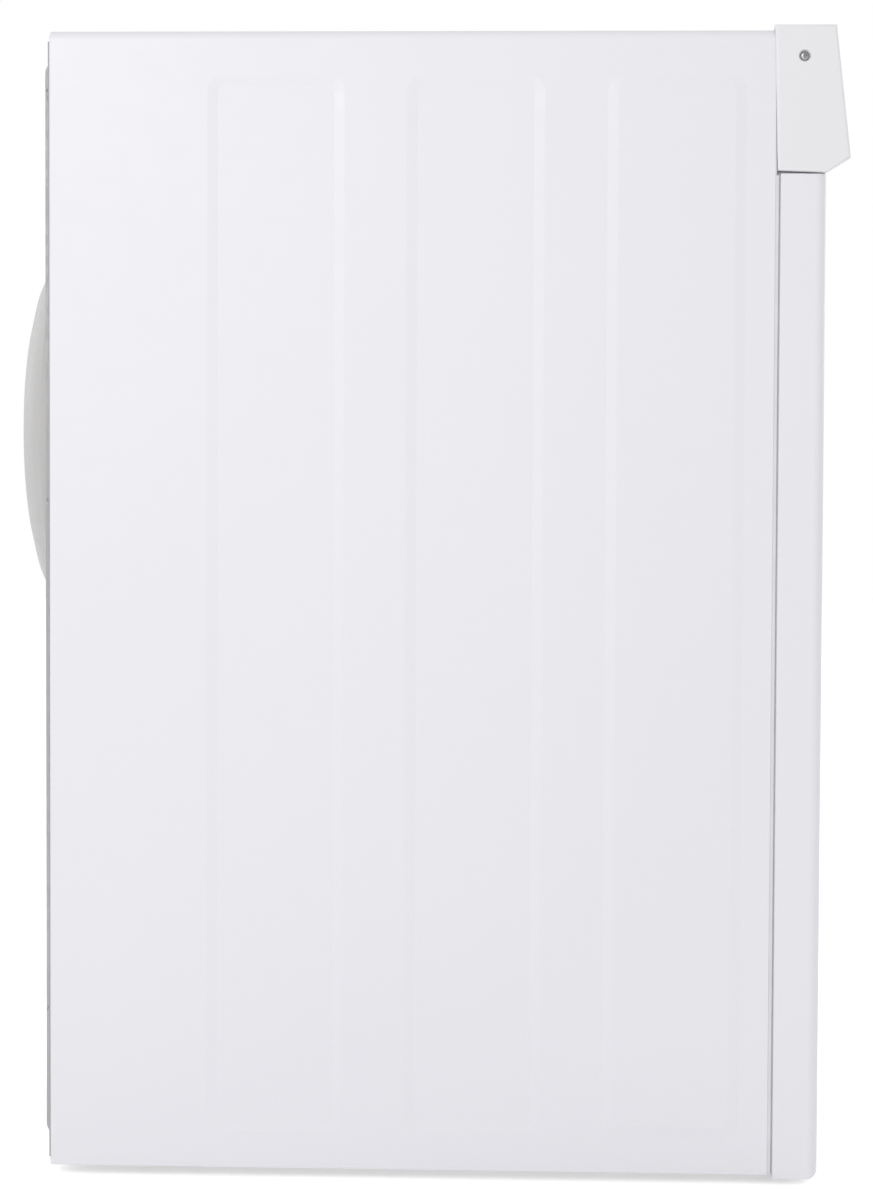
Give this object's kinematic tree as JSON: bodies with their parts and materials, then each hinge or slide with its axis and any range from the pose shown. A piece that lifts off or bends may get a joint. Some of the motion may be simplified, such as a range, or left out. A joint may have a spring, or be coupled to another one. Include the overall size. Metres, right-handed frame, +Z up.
{
  "type": "trash compactor",
  "caption": "Free-standing trash compactor with a pull-out bin drawer, a screw-driven ram, an overhanging control console and a domed odour fan cover on the back.",
  "frame": {"origin": "centre of the whole machine's footprint box, on the floor under the feet", "axes": "+X to the right seen from the front, +Y to the back, +Z up"},
  "size_m": [0.381, 0.6424, 0.8705],
  "materials": {
    "white_enamel": "smooth white enamel on sheet steel",
    "white_plastic": "smooth white moulding",
    "galvanised": "galvanised sheet with a fine spangle",
    "grey_plastic": "light warm grey moulding",
    "zinc_screw": "zinc plated",
    "steel": "plain machined steel",
    "bronze": "sintered bronze",
    "chain_steel": "oiled dark steel",
    "black_plastic": "fine texture black",
    "rubber": "matt black rubber",
    "seal_grey": "matt light grey vinyl",
    "motor_grey": "dark grey enamel",
    "cast_aluminium": "as cast",
    "filter_charcoal": "charcoal felt",
    "bin_grey": "smooth light grey moulding",
    "button_grey": "smooth light grey moulding",
    "lens_amber": "clear amber lens",
    "nut_plastic": "natural acetal"
  },
  "bodies": {
    "cabinet": {"cabinet_wrapper": "white_enamel", "base_frame": "galvanised", "levelling_feet": "rubber", "back_panel": "galvanised", "back_panel_screws": "zinc_screw", "fan_cover": "grey_plastic", "fan_cover_screws": "zinc_screw", "cord_bushing": "black_plastic", "side_plate_right": "galvanised", "side_plate_left": "galvanised", "top_beam": "galvanised", "front_rail": "galvanised", "rear_bulkhead": "galvanised", "lower_bearings": "bronze", "upper_bearings": "bronze", "drive_chain": "chain_steel", "gear_reducer": "cast_aluminium", "drive_motor": "motor_grey", "motor_bracket": "galvanised", "run_capacitor": "black_plastic", "slide_outer_members": "steel", "filter_frame": "white_plastic", "odour_filter": "filter_charcoal", "fan_bracket": "galvanised", "fan_motor": "motor_grey", "console_end_cap_right": "white_plastic", "console_end_cap_left": "white_plastic", "console_screws": "zinc_screw", "console_fascia": "white_plastic", "indicator_lens": "lens_amber", "switch_block": "black_plastic", "drawer_switch": "black_plastic", "ram_limit_switch": "black_plastic", "drawer_catch": "black_plastic"},
    "drawer": {"drawer_front": "white_enamel", "drawer_liner": "white_enamel", "pull_handle": "white_plastic", "drawer_bumpers": "seal_grey", "drawer_frame": "galvanised", "waste_bin": "bin_grey", "bag_clips": "button_grey", "slide_inner_members": "steel", "drawer_strike": "steel"},
    "slide_middle_right": {"slide_middle_right": "steel"},
    "slide_middle_left": {"slide_middle_left": "steel"},
    "ram": {"ram_plate": "steel", "ram_box": "galvanised", "ram_beam": "steel", "power_nuts": "nut_plastic"},
    "power_screw_left": {"power_screw_left": "steel", "screw_sprocket_left": "steel"},
    "power_screw_right": {"power_screw_right": "steel", "screw_sprocket_right": "steel"},
    "motor_output": {"output_shaft": "steel", "motor_sprocket": "steel"},
    "fan_impeller": {"fan_impeller": "black_plastic"},
    "key_knob": {"key_knob": "button_grey"},
    "start_button": {"start_button": "button_grey"},
    "stop_button": {"stop_button": "button_grey"}
  },
  "joints": [
    {"name": "drawer_slide", "type": "slide", "parent": "cabinet", "child": "drawer", "axis": [0, -1, 0], "range_m": [0, 0.4]},
    {"name": "slide_middle_right_travel", "type": "slide", "parent": "cabinet", "child": "slide_middle_right", "axis": [0, -1, 0], "range_m": [0, 0.2]},
    {"name": "slide_middle_left_travel", "type": "slide", "parent": "cabinet", "child": "slide_middle_left", "axis": [0, -1, 0], "range_m": [0, 0.2]},
    {"name": "ram_travel", "type": "slide", "parent": "cabinet", "child": "ram", "axis": [0, 0, -1], "range_m": [0, 0.325]},
    {"name": "power_screw_left_turn", "type": "hinge", "parent": "cabinet", "child": "power_screw_left", "pos_m": [-0.16, -0.075, 0.042], "axis": [0, 0, 1], "range_deg": [0, 9751]},
    {"name": "power_screw_right_turn", "type": "hinge", "parent": "cabinet", "child": "power_screw_right", "pos_m": [0.16, -0.075, 0.042], "axis": [0, 0, 1], "range_deg": [0, 9751]},
    {"name": "motor_output_turn", "type": "hinge", "parent": "cabinet", "child": "motor_output", "pos_m": [0, 0.20365, 0.042], "axis": [0, 0, 1], "range_deg": [0, 9751]},
    {"name": "fan_spin", "type": "hinge", "parent": "cabinet", "child": "fan_impeller", "pos_m": [0, 0.22, 0.567], "axis": [0, 1, 0], "continuous": true},
    {"name": "key_turn", "type": "hinge", "parent": "cabinet", "child": "key_knob", "pos_m": [0.075, -0.30038, 0.8325], "axis": [0, -0.9936, 0.1133], "range_deg": [-90, 0]},
    {"name": "start_press", "type": "slide", "parent": "cabinet", "child": "start_button", "axis": [0, 0.9936, -0.1133], "range_m": [0, 0.003], "stiffness_N_per_m": 300, "springref_m": -0.002},
    {"name": "stop_press", "type": "slide", "parent": "cabinet", "child": "stop_button", "axis": [0, 0.9936, -0.1133], "range_m": [0, 0.003], "stiffness_N_per_m": 300, "springref_m": -0.002}
  ],
  "couplings": [
    {"joint": "slide_middle_right_travel", "follows": "drawer_slide", "ratio": 0.5},
    {"joint": "slide_middle_left_travel", "follows": "drawer_slide", "ratio": 0.5},
    {"joint": "power_screw_left_turn", "follows": "ram_travel", "rad_per_m": 523.6},
    {"joint": "power_screw_right_turn", "follows": "ram_travel", "rad_per_m": 523.6},
    {"joint": "motor_output_turn", "follows": "ram_travel", "rad_per_m": 523.6}
  ]
}
